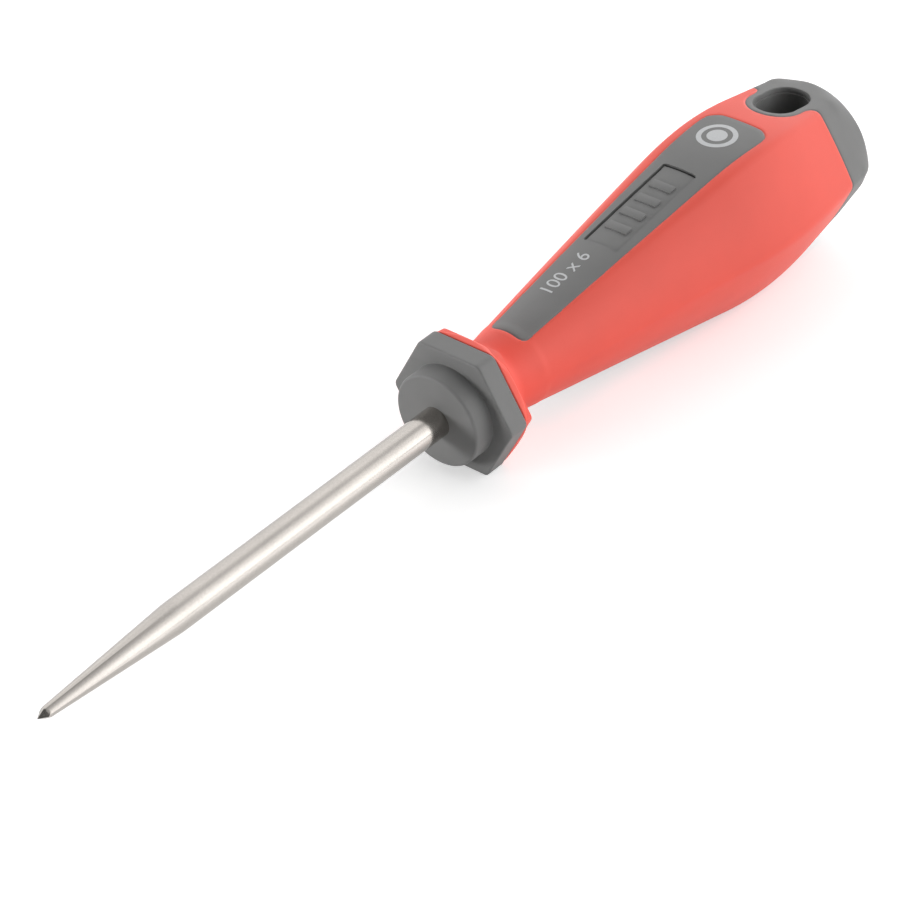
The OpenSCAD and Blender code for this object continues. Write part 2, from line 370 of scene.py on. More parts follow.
def eased(graph, value, start, full, low=0.0, high=1.0):
    """A value that goes smoothly from low to high between two places."""
    return graph.add("ShaderNodeMapRange", {"interpolation_type": "SMOOTHSTEP"}, {
        "Value": value, "From Min": start, "From Max": full, "To Min": low, "To Max": high})


def ray_is(graph, kind):
    """1 for the rays of a kind and 0 for the others."""
    return graph.add("ShaderNodeLightPath", output=f"Is {kind} Ray")


def ground_steel(colour):
    """Bar ground to a satin finish, with fine marks and faint streaks, smoother at its root."""

    def paint(graph, coords):
        marks = noise(graph, coords, scale=900, detail=3, stretch=(6, 1, 1))
        streaks = noise(graph, coords, scale=500, stretch=(0.06, 1, 1))
        clouds = noise(graph, coords, scale=120, detail=3)
        grain = noise(graph, coords, scale=3200)
        change = streaks * 0.3 + clouds * 0.3 + grain * 0.4
        along = graph.add("ShaderNodeSeparateXYZ", None, {"Vector": coords})
        root = eased(graph, along, ROOT_START, ROOT_FULL)
        return graph.add("ShaderNodeBsdfPrincipled", None, {
            "Base Color": tinted(graph, colour, change, low=0.84, high=1.1),
            "Metallic": 1.0,
            "Roughness": 0.2 + marks * 0.06 + clouds * 0.04 - root * 0.11,
            "Normal": bumped(graph, marks * 0.7 + streaks * 0.3, depth=0.002 * MM),
        })

    return finish_of("ground_steel", paint)


def hard_plastic(colour):
    """Hard moulded plastic with the fine matt grain of its mould."""

    def paint(graph, coords):
        grain = noise(graph, coords, scale=4200)
        clouds = noise(graph, coords, scale=160, detail=3)
        return graph.add("ShaderNodeBsdfPrincipled", None, {
            "Base Color": tinted(graph, colour, clouds, low=0.96, high=1.04),
            "Roughness": 0.5 + grain * 0.12,
            "Specular IOR Level": 0.4,
            "Normal": bumped(graph, grain, depth=0.012 * MM),
        })

    return finish_of("hard_plastic", paint)


def soft_plastic(colour):
    """Soft moulded plastic with a satin skin."""

    def paint(graph, coords):
        grain = noise(graph, coords, scale=3000)
        clouds = noise(graph, coords, scale=110, detail=3)
        return graph.add("ShaderNodeBsdfPrincipled", None, {
            "Base Color": tinted(graph, colour, clouds, low=0.97, high=1.03),
            "Roughness": 0.42 + grain * 0.1,
            "Specular IOR Level": 0.45,
            "Normal": bumped(graph, grain, depth=0.008 * MM),
        })

    return finish_of("soft_plastic", paint)


def print_ink(colour):
    """Thin matt ink with a slightly uneven cover."""

    def paint(graph, coords):
        cover = noise(graph, coords, scale=2500)
        return graph.add("ShaderNodeBsdfPrincipled", None, {
            "Base Color": tinted(graph, colour, cover, low=0.95, high=1.04),
            "Roughness": 0.55 + cover * 0.1,
        })

    return finish_of("print_ink", paint)


def pale_floor(colour):
    """Pale matt floor that shows white, with the shadow kept, and with a painted shadow under the
    tool in what mirrors it.
    """

    def paint(graph, coords):
        spots = noise(graph, coords, scale=20)
        pale = tinted(graph, colour, spots, low=0.995, high=1.005)
        matt = graph.add("ShaderNodeBsdfDiffuse", None, {"Color": pale})
        across = graph.add("ShaderNodeSeparateXYZ", None, {"Vector": coords}, "Y")
        # Painted shadow: in what mirrors the floor, its glow is lower under the tool and rises
        # towards its right
        glow_with_painted_shadow = eased(graph, 0 - across, 0.0, FLOOR_RISE, FLOOR_PAINTED_SHADOW, FLOOR_FAR)
        others = ray_is(graph, "Glossy") + ray_is(graph, "Transmission")
        light = ray_is(graph, "Camera") * FLOOR_GLOW + others * glow_with_painted_shadow
        glow = graph.add("ShaderNodeEmission", None, {"Color": light, "Strength": 1.0})
        return graph.add("ShaderNodeAddShader", None, {0: matt, 1: glow})

    return finish_of("pale_floor", paint)


def clamp(value, low=0, high=1):
    """A value kept between two others."""
    return min(max(value, low), high)


def off_middle(angle):
    """Angle from the middle of the nearest of the six sides."""
    return abs((angle + HALF_SIDE) % (2 * HALF_SIDE) - HALF_SIDE)


def section_radius(flat, ridge, angle):
    """Radius of a six-sided section with rounded ridges, at an angle from the middle of a flat."""
    corner = clamp((flat * FLAT_TO_RIDGE - ridge) / (FLAT_TO_RIDGE - 1), 0, flat)
    off = off_middle(angle)
    if flat * math.tan(off) <= (flat - corner) * math.tan(HALF_SIDE):
        return flat / math.cos(off)
    reach = (flat - corner) * FLAT_TO_RIDGE
    side = reach * math.sin(HALF_SIDE - off)
    return reach * math.cos(HALF_SIDE - off) + math.sqrt(max(corner * corner - side * side, 0))


def soft_least(first, second, blend):
    """The lesser of two values, rounded over where they are nearly the same."""
    if blend <= 0:
        return min(first, second)
    part = clamp(0.5 + 0.5 * (second - first) / blend)
    return second + (first - second) * part - blend * part * (1 - part)


def facet_radius(flat, ridge, soft, angle):
    """Radius of a section of six slightly bulged facets, at an angle from a facet's middle."""
    # Where two facets meet, soft_least takes a quarter of the softness off
    sharp = ridge + soft / 4
    half, chord = sharp * math.sin(HALF_SIDE), sharp * math.cos(HALF_SIDE)
    bulge = max(flat - chord, LEAST_BULGE)
    arc = (half * half + bulge * bulge) / (2 * bulge)
    off = off_middle(angle)

    def side(turn):
        rise = math.sqrt(arc * arc - ((arc - flat) * math.sin(turn)) ** 2)
        return (flat - arc) * math.cos(turn) + rise

    return soft_least(side(off), side(2 * HALF_SIDE - off), soft)


def rounded_level(side, end, corner):
    """Distance from an outline with rounded corners, from those to its sides and to its ends."""
    side, end = side + corner, end + corner
    return min(max(side, end), 0) + math.hypot(max(side, 0), max(end, 0)) - corner


def edge_arc(radius):
    """Steps [along, inset] round an edge, from its face to its side."""
    return [(radius * (1 - math.cos(a)), radius * (1 - math.sin(a))) for a in ARC]


def round_ring(x, radius):
    """A round section [x, radius at an angle]."""
    return x, lambda turn: radius


def flat_ring(x, flat, ridge):
    """A six-sided section [x, radius at an angle]."""
    return x, lambda turn: section_radius(flat, ridge, turn)


class HandleForm:
    """Outside of the handle: its ridge radius, its facets and the outlines of its hard places."""

    def __init__(self, sizes):
        s = self.sizes = sizes
        self.rim_x = s.nose_length + s.guard_thickness
        self.neck_x = self.rim_x + s.rim_thickness
        self.hollow_x = self.neck_x + s.hollow_radius
        self.belly_x = s.length - s.belly_back
        self.butt_x = s.length - s.butt_length
        run = self.belly_x - self.hollow_x
        drop = s.neck_radius + s.hollow_radius - s.belly_radius + s.swell_radius
        lean = math.asin((s.swell_radius + s.hollow_radius) / math.hypot(run, drop))
        self.slope = lean - math.atan2(drop, run)
        self.cone_x = self.hollow_x + s.hollow_radius * math.sin(self.slope)
        self.cone_r = s.neck_radius + s.hollow_radius * (1 - math.cos(self.slope))
        self.swell_x = self.belly_x - s.swell_radius * math.sin(self.slope)
        self.rear_x = self.belly_x + s.swell_radius * math.sin(s.rear_slope)
        self.rear_r = s.belly_radius - s.swell_radius * (1 - math.cos(s.rear_slope))
        self.edge_x = s.length - s.butt_edge
        self.guard_ridge = (s.guard_flat - s.guard_corner) * FLAT_TO_RIDGE + s.guard_corner
        self.pad_end_x = s.length - s.pad_back
        self.panel_end_x = self.pad_end_x - s.panel_back
        self.panel_x = self.panel_end_x - s.panel_length
        self.surround = s.hole_radius + s.ledge_width + s.surround_width

    def rear_line(self, x):
        """Ridge radius along the straight rear."""
        return self.rear_r - (x - self.rear_x) * math.tan(self.sizes.rear_slope)

    def ridge(self, x):
        """Radius over the ridges."""
        s = self.sizes
        if x < self.cone_x:
            rise = math.sqrt(s.hollow_radius ** 2 - (self.hollow_x - x) ** 2)
            return s.neck_radius + s.hollow_radius - rise
        if x < self.swell_x:
            return self.cone_r + (x - self.cone_x) * math.tan(self.slope)
        if x < self.rear_x:
            rise = math.sqrt(s.swell_radius ** 2 - (x - self.belly_x) ** 2)
            return s.belly_radius - s.swell_radius + rise
        if x < self.edge_x:
            return self.rear_line(x)
        rise = math.sqrt(max(s.butt_edge ** 2 - (x - self.edge_x) ** 2, 0))
        return self.rear_line(self.edge_x) - s.butt_edge + rise

    def facet_part(self, x):
        """Share of the facets' full depth that they have at a place."""
        s = self.sizes
        return clamp((x - s.facet_start) / (self.butt_x - s.facet_start))

    def facet(self, x):
        """Height of the middle of a facet."""
        s = self.sizes
        part = self.facet_part(x)
        step = clamp((x - s.facet_start) / (FACET_RUN * s.facet_step))
        step = s.facet_step * step * step * (3 - 2 * step) * (1 - part)
        plain = self.ridge(x) if x < self.edge_x else self.rear_line(x)
        return min(plain * (1 - s.facet_share * part) - step, self.ridge(x))

    def radius(self, x, angle):
        """Radius of the grip at an angle from the top."""
        soft = self.sizes.ridge_soft * self.facet_part(x) ** 2
        return min(facet_radius(self.facet(x), self.ridge(x), soft, angle), self.ridge(x))

    def height(self, x, y):
        """Height of the upper side over a place."""
        low, high = 0, 2 * HALF_SIDE
        for _ in range(HALVINGS):
            angle = (low + high) / 2
            if self.radius(x, angle) * math.sin(angle) < abs(y):
                low = angle
            else:
                high = angle
        return self.radius(x, low) * math.cos(low)

    def guard_rings(self, front_x, front_edge, rear_x, rear_edge):
        """Six-sided sections of a plate with rounded corners and rounded front and rear edges."""
        places = [(front_x + along, inset) for along, inset in edge_arc(front_edge)]
        rear = [(rear_x - along, inset) for along, inset in reversed(edge_arc(rear_edge))]
        start, end = places[-1][0], rear[0][0]
        places += [(start + (end - start) * i / ARC_STEPS, 0) for i in range(1, ARC_STEPS)] + rear
        flat, ridge = self.sizes.guard_flat, self.guard_ridge
        return [flat_ring(x, flat - inset, ridge - inset) for x, inset in places]

    def rim_ring(self, x, radius):
        """A section of the rim, cut back at its ridges by a cone as a nut is."""
        s = self.sizes
        part = (x - self.rim_x) / s.rim_thickness
        cone = self.guard_ridge - part * (self.guard_ridge - s.guard_flat)
        return x, lambda turn: soft_least(radius(turn), cone, s.rim_edge)

    def body_ring(self, x):
        """A section of the grip with its facets."""
        return x, lambda turn: self.radius(x, turn)

    def rings(self):
        """Sections [x, radius at an angle] from the front of the rim to the end of the butt."""
        s = self.sizes
        rim = self.guard_rings(self.rim_x, s.guard_edge, self.neck_x, s.rim_edge)
        made = [self.rim_ring(*ring) for ring in rim]
        steps = 2 * ARC_STEPS
        sunk = s.guard_flat - s.rim_edge - s.neck_radius - HOLLOW_DROP
        start = math.asin(1 - sunk / s.hollow_radius)
        for i in range(steps):
            a = start + (QUARTER + self.slope - start) * i / steps
            x = self.hollow_x - s.hollow_radius * math.cos(a)
            made.append(round_ring(x, s.neck_radius + s.hollow_radius * (1 - math.sin(a))))
        places = [self.cone_x, s.facet_start, s.facet_start + FACET_RUN * s.facet_step]
        places += [self.swell_x, self.belly_x, self.rear_x, self.edge_x]
        for a, b in zip(places, places[1:]):
            count = max(math.ceil((b - a) / HANDLE_STEP), LEAST_STEPS)
            made += [self.body_ring(a + (b - a) * i / count) for i in range(count)]
        for i in range(steps + 1):
            made.append(self.body_ring(self.edge_x + s.butt_edge * math.sin(QUARTER * i / steps)))
        return made

    def pad_level(self, co):
        """Distance of a place from the outline of the label pad, below zero inside it."""
        s = self.sizes
        part = clamp((co.x - s.pad_front) / s.pad_taper)
        half = s.pad_front_half + (s.pad_rear_half - s.pad_front_half) * part
        front, rear = s.pad_front - co.x, co.x - self.pad_end_x
        corner = s.pad_front_corner if front > rear else s.pad_rear_corner
        return rounded_level(abs(co.y) - half, max(front, rear), corner)

    def from_hole(self, co):
        """Distance of a place from the middle run of the oval hole."""
        s = self.sizes
        return math.hypot(max(abs(co.x - s.hole_middle) - s.hole_half, 0), co.y)

    def butt_level(self, co):
        """Distance from the front of the butt and the hole's surround, below zero inside them."""
        around = self.from_hole(co) - self.surround
        return soft_least(self.butt_x - co.x, around, self.sizes.surround_blend)

    def hard_level(self, co):
        """Distance of a place from the hard places, below zero inside them."""
        return min(self.pad_level(co), self.butt_level(co))

    def hole_level(self, co):
        """Distance of a place from the mouth of the hanging hole, below zero inside it."""
        s = self.sizes
        return self.from_hole(co) - s.hole_radius - s.ledge_width

    def panel_level(self, co):
        """Distance of a place from the sunk panel on the upper side, below zero inside it."""
        s = self.sizes
        if co.z < 0:
            return s.length
        end = max(self.panel_x - co.x, co.x - self.panel_end_x)
        return rounded_level(abs(co.y) - s.panel_half, end, s.panel_corner)

    def groove_level(self, co):
        """Distance of a place from the inner edge of the panel's groove, above zero in it."""
        s = self.sizes
        return max(co.y - s.panel_half, co.x - self.panel_end_x) + s.groove_width


def turned(points, steps):
    """A mesh turned round the axis from [x, radius] points, with their numbers in a layer."""
    bm = bmesh.new()
    layer = bm.verts.layers.int.new("ring")
    verts = []
    for i, (x, r) in enumerate(points):
        v = bm.verts.new((x, 0, r))
        v[layer] = i
        verts.append(v)
    edges = [bm.edges.new(pair) for pair in zip(verts, verts[1:])]
    bmesh.ops.spin(bm, geom=verts + edges, axis=(1, 0, 0), cent=(0, 0, 0), angle=TURN,
                   steps=steps, use_merge=True)
    return bm


def turned_form(rings):
    """A mesh turned from sections [x, radius at an angle], each with its own outline."""
    bm = turned([(x, radius(0)) for x, radius in rings], HANDLE_STEPS)
    layer = bm.verts.layers.int["ring"]
    for v in bm.verts:
        x, radius = rings[v[layer]]
        a = math.atan2(v.co.y, v.co.z)
        v.co = (x, radius(a) * math.sin(a), radius(a) * math.cos(a))
    return bm


def points_of(geom):
    """The points among what an operator has made."""
    return [g for g in geom if isinstance(g, bmesh.types.BMVert)]


def open_edges(bm):
    """The edges with a face on one side only."""
    return [e for e in bm.edges if e.is_boundary]


def run_on(bm, edges):
    """Extrudes open edges, and gives the new points and the new open edges."""
    made = bmesh.ops.extrude_edge_only(bm, edges=edges)["geom"]
    return points_of(made), [g for g in made if isinstance(g, bmesh.types.BMEdge) and g.is_boundary]


def turn_out(bm):
    """Turns all faces outwards."""
    bmesh.ops.recalc_face_normals(bm, faces=bm.faces[:])


def fill_ends(bm):
    """Closes each open loop with one face and turns all faces outwards."""
    bmesh.ops.holes_fill(bm, edges=open_edges(bm), sides=0)
    turn_out(bm)


def cut_along(bm, level, value):
    """Cuts the faces along the line where a level has a value."""
    over = {v: level(v.co) - value for v in bm.verts}
    over = {v: 0.0 if abs(d) < CUT_SNAP else d for v, d in over.items()}
    crossing = [e for e in bm.edges if over[e.verts[0]] * over[e.verts[1]] < 0]
    line = [v for v, d in over.items() if d == 0.0]
    for e in crossing:
        first, last = e.verts
        share = over[first] / (over[first] - over[last])
        line.append(bmesh.utils.edge_split(e, first, share)[1])
    bmesh.ops.connect_verts(bm, verts=line)


def cut_flat(bm, place, normal, clear_outer=False):
    """Cuts a mesh by a plane, and may take away what lies on the side of the normal."""
    geom = bm.verts[:] + bm.edges[:] + bm.faces[:]
    bmesh.ops.bisect_plane(bm, geom=geom, plane_co=place, plane_no=normal,
                           clear_outer=clear_outer, dist=FLAT_CUT_SNAP)


def delete_faces(bm, level, side):
    """Deletes the faces on the side of a level where it is above (1) or below (-1) zero."""
    unwanted = [f for f in bm.faces if level(f.calc_center_median()) * side > 0]
    bmesh.ops.delete(bm, geom=unwanted, context="FACES")


def add_copy(bm, other):
    """Adds another bmesh to this one."""
    mesh = bpy.data.meshes.new("part")
    other.to_mesh(mesh)
    other.free()
    bm.from_mesh(mesh)
    bpy.data.meshes.remove(mesh)


def object_from(bm, name, material):
    """An object in the scene with the mesh of a bmesh."""
    mesh = bpy.data.meshes.new(name)
    bm.to_mesh(mesh)
    bm.free()
    mesh.materials.append(material)
    made = bpy.data.objects.new(name, mesh)
    bpy.context.scene.collection.objects.link(made)
    return made


def piece_from(bm, name, material, replaces=None):
    """A finished piece that rides on the tool, with smooth faces between its sharp edges."""
    bm.normal_update()
    for face in bm.faces:
        face.smooth = True
    for edge in bm.edges:
        closed = len(edge.link_faces) == 2
        edge.smooth = closed and edge.calc_face_angle(math.pi) < SHARP_ANGLE
    piece = object_from(bm, name, material)
    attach(piece, "root")
    if replaces:
        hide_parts(replaces)
    return piece


def handle_skin(form):
    """The outside of the handle behind the guard, with the seam of the mouldings pressed in."""
    s = form.sizes
    bm = turned_form(form.rings())
    last = [e for e in open_edges(bm) if e.verts[0].co.x > form.edge_x]
    bmesh.ops.contextual_create(bm, geom=last)
    turn_out(bm)
    for step in SEAM_CUTS:
        cut_along(bm, form.hard_level, s.seam_half * step / max(SEAM_CUTS))
    bm.normal_update()
    moves = []
    for v in bm.verts:
        off = form.hard_level(v.co) / s.seam_half
        if abs(off) < 1:
            moves.append((v, v.normal * (s.seam_depth * 0.5 * (1 + math.cos(math.pi * off)))))
    for v, move in moves:
        v.co -= move
    return bm


def inward_walls(bm, depth):
    """Runs each open edge of a skin inwards, and gives the new edges."""
    bm.normal_update()
    new, walls = run_on(bm, open_edges(bm))
    inner = set(new)
    for v in new:
        old = next(e.other_vert(v) for e in v.link_edges if e.other_vert(v) not in inner)
        v.co -= old.normal * depth
    return walls


class BRADAWL_OT_blade(bpy.types.Operator):
    """Makes the steel blade with its taper, point and tang"""

    bl_idname = "bradawl.blade"
    bl_label = "Blade"

    def execute(self, context):
        s = context.scene.bradawl.blade
        low, high = s.flat_middle - s.flat_length / 2, s.flat_middle + s.flat_length / 2
        bm = turned(self.outline(s, low, high), BLADE_STEPS)
        for v in bm.verts:
            if low - FLAT_STEP / 2 < v.co.x < high + FLAT_STEP / 2:
                v.co.z = clamp(v.co.z, -s.flat_thickness / 2, s.flat_thickness / 2)
        fill_ends(bm)
        tip = Vector((-s.length, 0, 0))
        for i in range(POINT_FACES):
            a = TURN * i / POINT_FACES + s.point_turn
            out = Vector((-s.tip_radius, s.point * math.sin(a), s.point * math.cos(a)))
            cut_flat(bm, tip, out, clear_outer=True)
            fill_ends(bm)
        steel = ground_steel(context.scene.bradawl.finishes.steel)
        piece_from(bm, "steel_blade", steel, "blade")
        return {"FINISHED"}

    def outline(self, s, low, high):
        """Points [x, radius] of the bar from its tip to the end of the tang."""
        taper_x = -s.length + s.taper
        steep = (s.radius - s.tip_radius) / (s.taper - s.point)
        start, end = taper_x - s.taper_blend / 2, taper_x + s.taper_blend / 2
        points = [(-s.length, s.tip_radius - s.point * steep)]
        for i in range(ARC_STEPS + 1):
            x = start + (end - start) * i / ARC_STEPS
            points.append((x, s.radius - steep * (end - x) ** 2 / (2 * s.taper_blend)))
        points += [(0, s.radius), (0, s.tang_radius)]
        tang = low - FLAT_STEP, low, high, high + FLAT_STEP, s.tang
        return points + [(x, s.tang_radius) for x in tang]


class BRADAWL_OT_handle_core(bpy.types.Operator):
    """Makes the hard grey moulding: nose, guard, inner core, label pads and butt"""

    bl_idname = "bradawl.handle_core"
    bl_label = "Handle core"

    def execute(self, context):
        form = HandleForm(context.scene.bradawl.handle)
        bm = handle_skin(form)
        delete_faces(bm, form.hard_level, 1)
        self.round_mouths(bm, form)
        self.bore_hole(bm, form)
        self.sink_panel(bm, form)
        self.close_inside(bm, form)
        self.add_ribs(bm, form)
        self.add_front(bm, form)
        grey = hard_plastic(context.scene.bradawl.finishes.grey)
        piece_from(bm, "grey_core", grey, "handle_core")
        return {"FINISHED"}

    def round_mouths(self, bm, form):
        """Rounds the edge of each mouth of the hanging hole and opens the mouth."""
        s = form.sizes
        for step in MOUTH_CUTS:
            cut_along(bm, form.hole_level, s.mouth_edge * step)
        for v in bm.verts:
            off = form.hole_level(v.co) / s.mouth_edge
            if -MOUTH_SLACK < off < 1:
                drop = s.mouth_edge * (1 - math.sqrt(max(1 - (1 - off) ** 2, 0)))
                v.co.z -= math.copysign(drop, v.co.z)
        delete_faces(bm, form.hole_level, -1)

    def bore_hole(self, bm, form):
        """Steps each mouth down to its ledge and runs the hole from one side to the other."""
        s = form.sizes
        share = s.hole_radius / (s.hole_radius + s.ledge_width)

        def at_mouth(edge):
            return all(form.hole_level(v.co) < s.mouth_edge for v in edge.verts)

        def down(co):
            return Vector((co.x, co.y, co.z - math.copysign(s.ledge_depth, co.z)))

        def narrow(co):
            near = clamp(co.x, s.hole_middle - s.hole_half, s.hole_middle + s.hole_half)
            return Vector((near + (co.x - near) * share, co.y * share, co.z))

        def middle(co):
            return Vector((co.x, co.y, 0))

        loops = [e for e in open_edges(bm) if at_mouth(e)]
        for move in (down, narrow, middle):
            new, loops = run_on(bm, loops)
            for v in new:
                v.co = move(v.co)
        ends = list(dict.fromkeys(v for e in loops for v in e.verts))
        bmesh.ops.remove_doubles(bm, verts=ends, dist=MERGE_NEAR)

    def sink_panel(self, bm, form):
        """Sinks the panel into the upper label pad, and the groove into the panel."""
        s = form.sizes
        for level in (form.panel_level, form.groove_level):
            cut_along(bm, level, 0)
        self.press(bm, form, lambda co: form.panel_level(co) < 0, s.panel_depth)
        self.press(bm, form, lambda co: form.panel_level(co) < 0 < form.groove_level(co),
                   s.groove_depth)

    def press(self, bm, form, inside, depth):
        """Presses the faces of the upper label pad that lie inside an outline."""
        bm.normal_update()
        faces = [f for f in bm.faces
                 if f.normal.z > FACING_UP and inside(f.calc_center_median())]
        made = bmesh.ops.extrude_face_region(bm, geom=faces)["geom"]
        bmesh.ops.delete(bm, geom=[f for f in faces if f.is_valid], context="FACES")
        move = (depth * math.sin(form.slope), 0, -depth)
        bmesh.ops.translate(bm, verts=points_of(made), vec=move)

    def close_inside(self, bm, form):
        """Gives the label pads and the butt their walls, and closes the inner side."""
        wall = form.sizes.soft_wall
        walls = inward_walls(bm, wall)
        butt = {e for e in walls if e.verts[0].co.x > form.pad_end_x + wall / 2}
        bmesh.ops.holes_fill(bm, edges=[e for e in walls if e not in butt], sides=0)
        new, _ = run_on(bm, [e for e in walls if e in butt])
        bmesh.ops.pointmerge(bm, verts=new, merge_co=(form.pad_end_x + wall, 0, 0))
        turn_out(bm)

    def add_ribs(self, bm, form):
        """Plain raised ribs on the floor of the panel."""
        s = form.sizes
        middle = (form.panel_x + form.panel_end_x) / 2
        for i in range(s.ribs):
            x = middle + s.rib_pitch * (i - (s.ribs - 1) / 2)
            rib = bmesh.new()
            bmesh.ops.create_cube(rib, size=1)
            size = (s.rib_width, s.rib_length, 2 * s.rib_height)
            bmesh.ops.scale(rib, verts=rib.verts[:], vec=size)
            bmesh.ops.bevel(rib, geom=rib.edges[:], offset=s.rib_edge, affect="EDGES",
                            segments=2, profile=0.5, material=-1)
            place = Matrix.Translation((x, 0, form.height(x, 0) - s.panel_depth))
            lean = Matrix.Rotation(-form.slope, 4, "Y")
            bmesh.ops.transform(rib, matrix=place @ lean, verts=rib.verts[:])
            add_copy(bm, rib)

    def add_front(self, bm, form):
        """Nose, guard and inner core, turned as one bar from the nose face into the butt."""
        s = form.sizes
        points = [(along, s.nose_radius - inset) for along, inset in edge_arc(s.nose_edge)]
        points += [(s.nose_length - along, s.nose_radius + out)
                   for out, along in edge_arc(s.nose_root)]
        rings = [round_ring(x, r) for x, r in points]
        rings += form.guard_rings(s.nose_length, s.guard_edge, form.rim_x, s.guard_edge)
        inner = 1 - s.facet_share
        for x in (form.rim_x, form.hollow_x, form.swell_x, form.belly_x, form.rear_x):
            outer = form.ridge(max(x, form.hollow_x)) * inner
            rings.append(round_ring(x, outer - s.soft_wall - CORE_GAP))
        front = turned_form(rings)
        fill_ends(front)
        add_copy(bm, front)


class BRADAWL_OT_soft_grip(bpy.types.Operator):
    """Makes the soft red moulding: rim, neck and body"""

    bl_idname = "bradawl.soft_grip"
    bl_label = "Soft grip"

    def execute(self, context):
        form = HandleForm(context.scene.bradawl.handle)
        bm = handle_skin(form)
        delete_faces(bm, form.hard_level, -1)
        red = soft_plastic(context.scene.bradawl.finishes.red)
        piece = piece_from(bm, "red_grip", red, "soft_grip")
        wall = piece.modifiers.new("wall", "SOLIDIFY")
        wall.thickness = form.sizes.soft_wall
        wall.offset = -1
        return {"FINISHED"}


class BRADAWL_OT_prints(bpy.types.Operator):
    """Makes the size figures and the tip symbol on the label pad"""

    bl_idname = "bradawl.prints"
    bl_label = "Prints"

    def execute(self, context):
        settings = context.scene.bradawl
        form, s = HandleForm(settings.handle), settings.prints
        ink = print_ink(settings.finishes.ink)
        self.lay(self.figures(context, s), form, s, "size_figures", ink)
        self.lay(self.symbol(s), form, s, "tip_symbol", ink)
        return {"FINISHED"}

    def figures(self, context, s):
        """The figures as a flat mesh on the handle's plan."""
        words = bpy.data.curves.new("figures", "FONT")
        words.body = s.figures
        words.align_x = "CENTER"
        words.align_y = "CENTER"
        words.size = s.figure_height / FIGURE_SHARE
        words.resolution_u = FIGURE_STEPS
        holder = bpy.data.objects.new("figures", words)
        context.scene.collection.objects.link(holder)
        context.view_layer.update()
        solved = holder.evaluated_get(context.evaluated_depsgraph_get())
        mesh = bpy.data.meshes.new_from_object(solved)
        bm = bmesh.new()
        bm.from_mesh(mesh)
        bpy.data.objects.remove(holder)
        bpy.data.curves.remove(words)
        bpy.data.meshes.remove(mesh)
        bmesh.ops.translate(bm, verts=bm.verts[:], vec=(s.figures_middle, s.aside, 0))
        return bm

    def symbol(self, s):
        """A ring round a dot as a flat mesh on the handle's plan."""
        bm = bmesh.new()
        loops = []
        for r in (s.ring_radius, s.ring_radius - s.ring_band):
            made = bmesh.ops.create_circle(bm, segments=SYMBOL_STEPS, radius=r)["verts"]
            loops += dict.fromkeys(e for v in made for e in v.link_edges)
        bmesh.ops.bridge_loops(bm, edges=loops)
        bmesh.ops.create_circle(bm, cap_ends=True, segments=SYMBOL_STEPS, radius=s.dot_radius)
        bmesh.ops.translate(bm, verts=bm.verts[:], vec=(s.ring_middle, s.aside, 0))
        return bm

    def lay(self, bm, form, s, name, ink):
        """Slices a flat print finely, lays it on the label pad and gives it the ink's thickness."""
        for axis, normal in enumerate(((1, 0, 0), (0, 1, 0))):
            places = [v.co[axis] for v in bm.verts]
            low, high = min(places), max(places)
            for i in range(1, math.ceil((high - low) / PRINT_STEP)):
                cut_flat(bm, [n * (low + PRINT_STEP * i) for n in normal], normal)
        bm.normal_update()
        bmesh.ops.reverse_faces(bm, faces=[f for f in bm.faces if f.normal.z < 0])
        for v in bm.verts:
            v.co.z = form.height(v.co.x, v.co.y) - s.thickness / 2
        made = bmesh.ops.extrude_face_region(bm, geom=bm.faces[:], use_keep_orig=True)["geom"]
        bmesh.ops.translate(bm, verts=points_of(made), vec=(0, 0, s.thickness))
        turn_out(bm)
        piece_from(bm, name, ink)


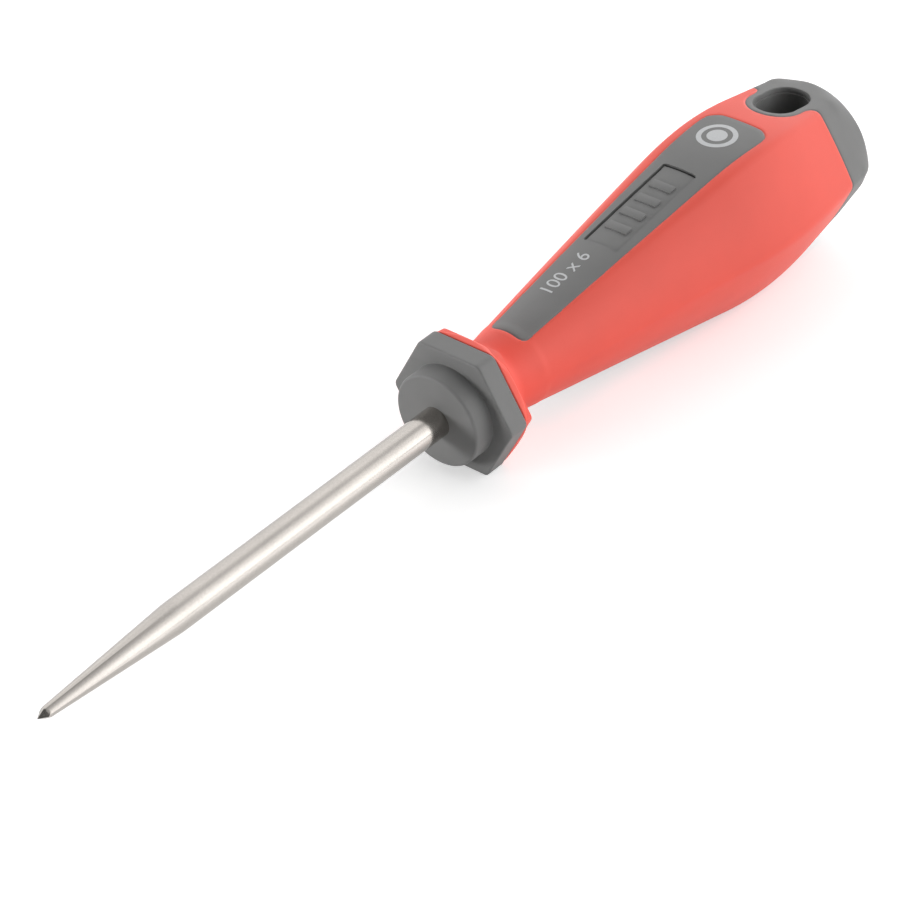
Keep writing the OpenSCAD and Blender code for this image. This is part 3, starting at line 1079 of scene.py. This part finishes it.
class BRADAWL_OT_stage(bpy.types.Operator):
    """Makes the floor, the lights and the camera"""

    bl_idname = "bradawl.stage"
    bl_label = "Stage"

    def execute(self, context):
        settings = context.scene.bradawl
        self.floor(HandleForm(settings.handle), settings.finishes.floor)
        self.lights(context.scene, settings.stage)
        self.world(context.scene)
        self.camera(context.scene, settings.stage)
        context.scene.view_settings.view_transform = "Standard"
        return {"FINISHED"}

    def floor(self, form, colour):
        """A wide floor under the guard and the belly, which the tool lies on."""
        s = form.sizes
        run = s.length - form.neck_x
        places = [form.neck_x + run * i / FLOOR_TRIES for i in range(1, FLOOR_TRIES + 1)]
        tilt = max(math.atan2(form.facet(x) - s.guard_flat, x - form.neck_x) for x in places)
        lay = Matrix.Translation((form.neck_x, 0, -s.guard_flat)) @ Matrix.Rotation(tilt, 4, "Y")
        bm = bmesh.new()
        bmesh.ops.create_grid(bm, x_segments=FLOOR_CELLS, y_segments=FLOOR_CELLS, size=FLOOR_HALF)
        bmesh.ops.transform(bm, matrix=lay, verts=bm.verts[:])
        object_from(bm, "floor", pale_floor(colour))

    def lights(self, scene, s):
        """A soft box at the left of the nose, for the shadows."""
        lamp = bpy.data.lights.new("left_box", "AREA")
        lamp.shape = "RECTANGLE"
        lamp.size = lamp.size_y = s.box_size
        lamp.energy = s.box_power
        box = bpy.data.objects.new("left_box", lamp)
        box.location = s.box_place
        box.rotation_euler = (-Vector(s.box_place)).to_track_quat("-Z", "Y").to_euler()
        scene.collection.objects.link(box)

    def world(self, scene):
        """Soft patches of light round the tool, and a white background for the camera."""
        world = bpy.data.worlds.new("studio")
        scene.world = world
        world.use_nodes = True
        graph = Graph(world.node_tree)
        way = graph.add("ShaderNodeTexCoord", output="Generated")

        def patch(towards, outer, inner):
            """A round patch round a direction, from 0 outside to 1 inside two angles."""
            middle = Vector(towards).normalized()
            near = graph.add("ShaderNodeVectorMath", {"operation": "DOT_PRODUCT"},
                             {0: way, 1: middle}, "Value")
            return eased(graph, near, math.cos(math.radians(outer)), math.cos(math.radians(inner)))

        level = STUDIO_LEVEL
        for *place, strength in STUDIO_PATCHES:
            level = patch(*place) * strength + level
        light = graph.add("ShaderNodeBackground", None, {"Color": level, "Strength": 1.0})
        white = graph.add("ShaderNodeBackground", None, {"Color": WHITE, "Strength": 1.0})
        seen = ray_is(graph, "Camera") + ray_is(graph, "Transmission")
        seen = seen + ray_is(graph, "Glossy") * (1 - patch(*SKY))
        both = graph.add("ShaderNodeMixShader", None, {0: seen, 1: light, 2: white})
        graph.add("ShaderNodeOutputWorld", None, {"Surface": both})

    def camera(self, scene, s):
        """Camera at the viewing angle, turned about its own axis."""
        a, e = s.azimuth, s.elevation
        back = Vector((math.sin(a) * math.cos(e), -math.cos(a) * math.cos(e), math.sin(e)))
        right = Vector((math.cos(a), math.sin(a), 0))
        up = back.cross(right)
        turn = Matrix.Rotation(s.roll, 3, back).inverted()
        right, up = turn @ right, turn @ up
        lens = bpy.data.cameras.new("camera")
        lens.lens = s.lens
        lens.sensor_width = SENSOR
        lens.shift_x, lens.shift_y = s.shift
        lens.clip_start, lens.clip_end = CAMERA_RANGE
        camera = bpy.data.objects.new("camera", lens)
        camera.matrix_world = Matrix((right, up, back)).transposed().to_4x4()
        camera.location = back * s.distance
        scene.collection.objects.link(camera)
        scene.camera = camera


class BRADAWL_PT_sidebar(bpy.types.Panel):
    """Lists the steps and their sizes."""

    bl_idname = "BRADAWL_PT_sidebar"
    bl_label = "Bradawl"
    bl_space_type = "VIEW_3D"
    bl_region_type = "UI"
    bl_category = "Bradawl"

    def draw(self, context):
        settings = context.scene.bradawl
        for operator, group in STEPS:
            box = self.layout.box()
            box.operator(operator.bl_idname)
            sizes = getattr(settings, group)
            for name in sizes.__annotations__:
                box.prop(sizes, name)


GROUPS = (BladeSizes, HandleSizes, PrintSizes, Finishes, StageSettings, BradawlSettings)
# The operators in order, each with the group of settings that the sidebar shows under it
STEPS = (
    (BRADAWL_OT_blade, "blade"),
    (BRADAWL_OT_handle_core, "handle"),
    (BRADAWL_OT_soft_grip, "finishes"),
    (BRADAWL_OT_prints, "prints"),
    (BRADAWL_OT_stage, "stage"),
)
CLASSES = (*GROUPS, *(operator for operator, group in STEPS), BRADAWL_PT_sidebar)


def register():
    for part in CLASSES:
        bpy.utils.register_class(part)
    bpy.types.Scene.bradawl = bpy.props.PointerProperty(type=BradawlSettings)


def unregister():
    del bpy.types.Scene.bradawl
    for part in reversed(CLASSES):
        bpy.utils.unregister_class(part)


def main():
    register()
    bpy.ops.bradawl.blade()
    bpy.ops.bradawl.handle_core()
    bpy.ops.bradawl.soft_grip()
    bpy.ops.bradawl.prints()
    bpy.ops.bradawl.stage()


if __name__ == "__main__":
    main()
